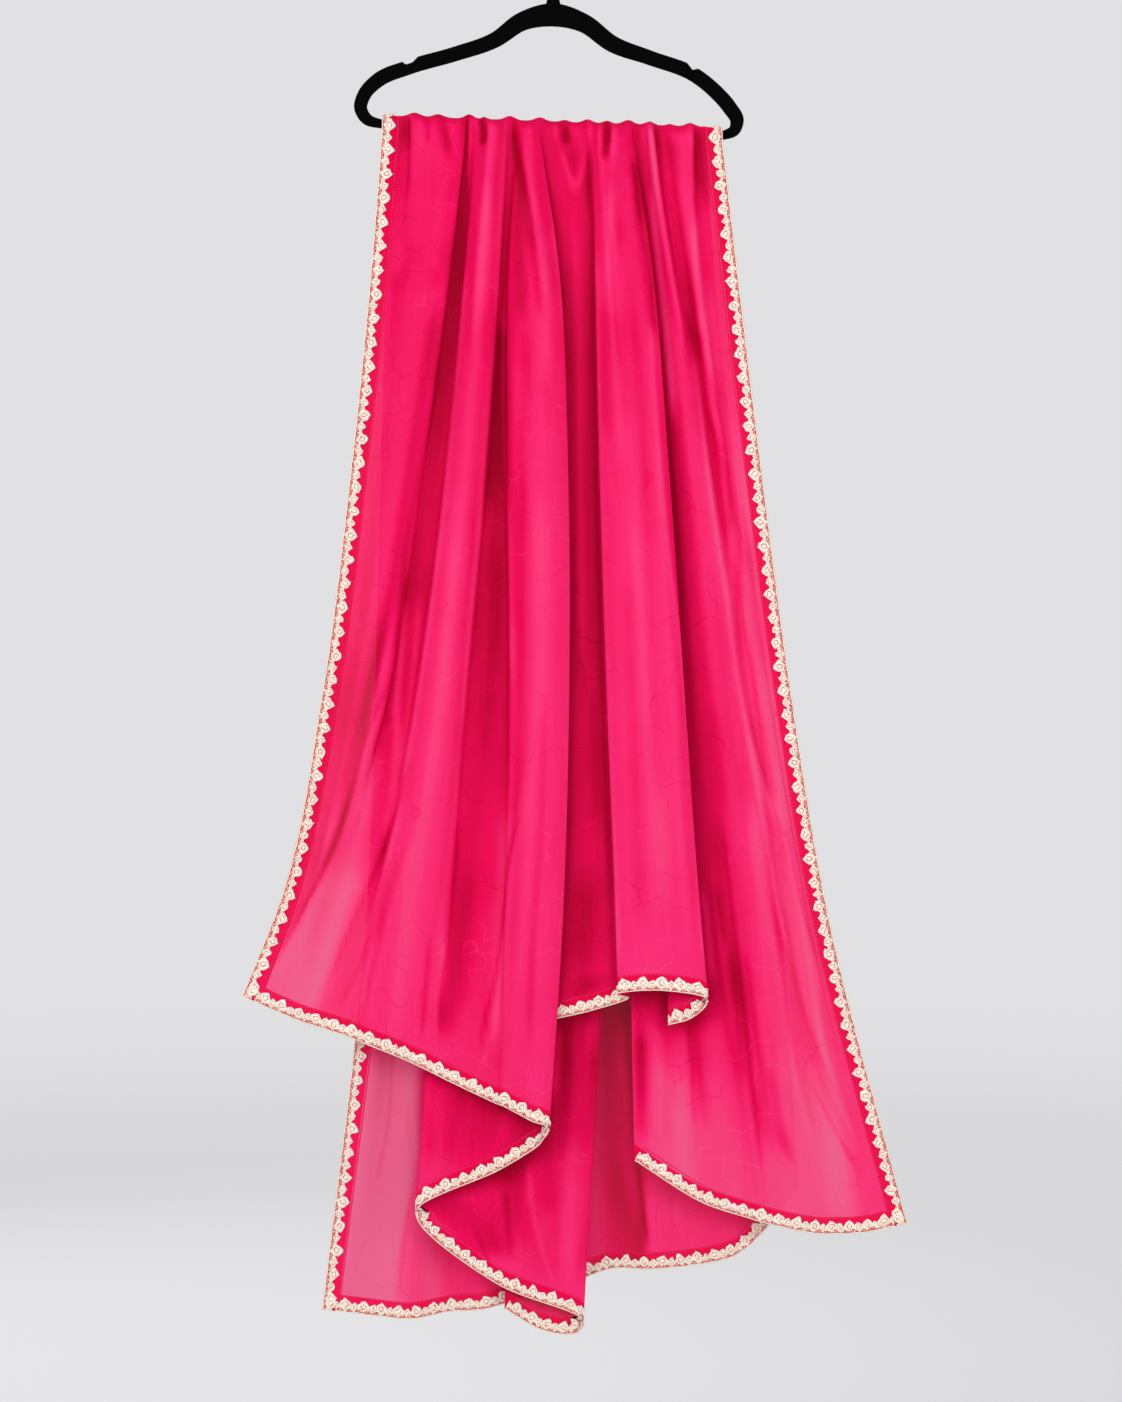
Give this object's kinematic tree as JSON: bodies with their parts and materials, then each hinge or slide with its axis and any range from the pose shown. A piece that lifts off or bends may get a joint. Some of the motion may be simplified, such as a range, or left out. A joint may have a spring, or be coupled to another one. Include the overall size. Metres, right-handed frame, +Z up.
{
  "type": "dupatta stole on clothes hanger",
  "caption": "Sheer pink dupatta stole with ivory lace edging, draped lengthwise in pleats over the bar of a slim velvet clothes hanger.",
  "frame": {"origin": "the place inside the top of the hook where it rests on a rail", "axes": "+Z up, +X to the viewer's right, the front of the stole faces -Y"},
  "size_m": [0.7491, 0.0816, 1.5753],
  "materials": {
    "cloth": "sheer satin-faced organza",
    "lace": "matte thread",
    "velvet": "flocked velvet",
    "steel": "polished"
  },
  "bodies": {
    "root": {"cloth_back": "cloth", "cloth_cascade": "cloth", "cloth_centre": "cloth", "cloth_front_left": "cloth", "cloth_front_right": "cloth", "hanger_frame": "velvet", "hook": "steel", "hook_ferrule": "steel", "lace_back_left_edge": "lace", "lace_back_left_edge_reverse": "lace", "lace_back_right_edge": "lace", "lace_back_right_edge_reverse": "lace", "lace_hem_back": "lace", "lace_hem_back_reverse": "lace", "lace_hem_cascade_lower": "lace", "lace_hem_cascade_middle": "lace", "lace_hem_cascade_upper": "lace", "lace_hem_left": "lace", "lace_hem_left_reverse": "lace", "lace_hem_pleat": "lace", "lace_hem_pleat_turned": "lace", "lace_hem_recess": "lace", "lace_hem_right": "lace", "lace_hem_right_reverse": "lace", "lace_left_edge": "lace", "lace_left_edge_reverse": "lace", "lace_right_edge": "lace", "lace_right_edge_reverse": "lace"}
  },
  "joints": []
}
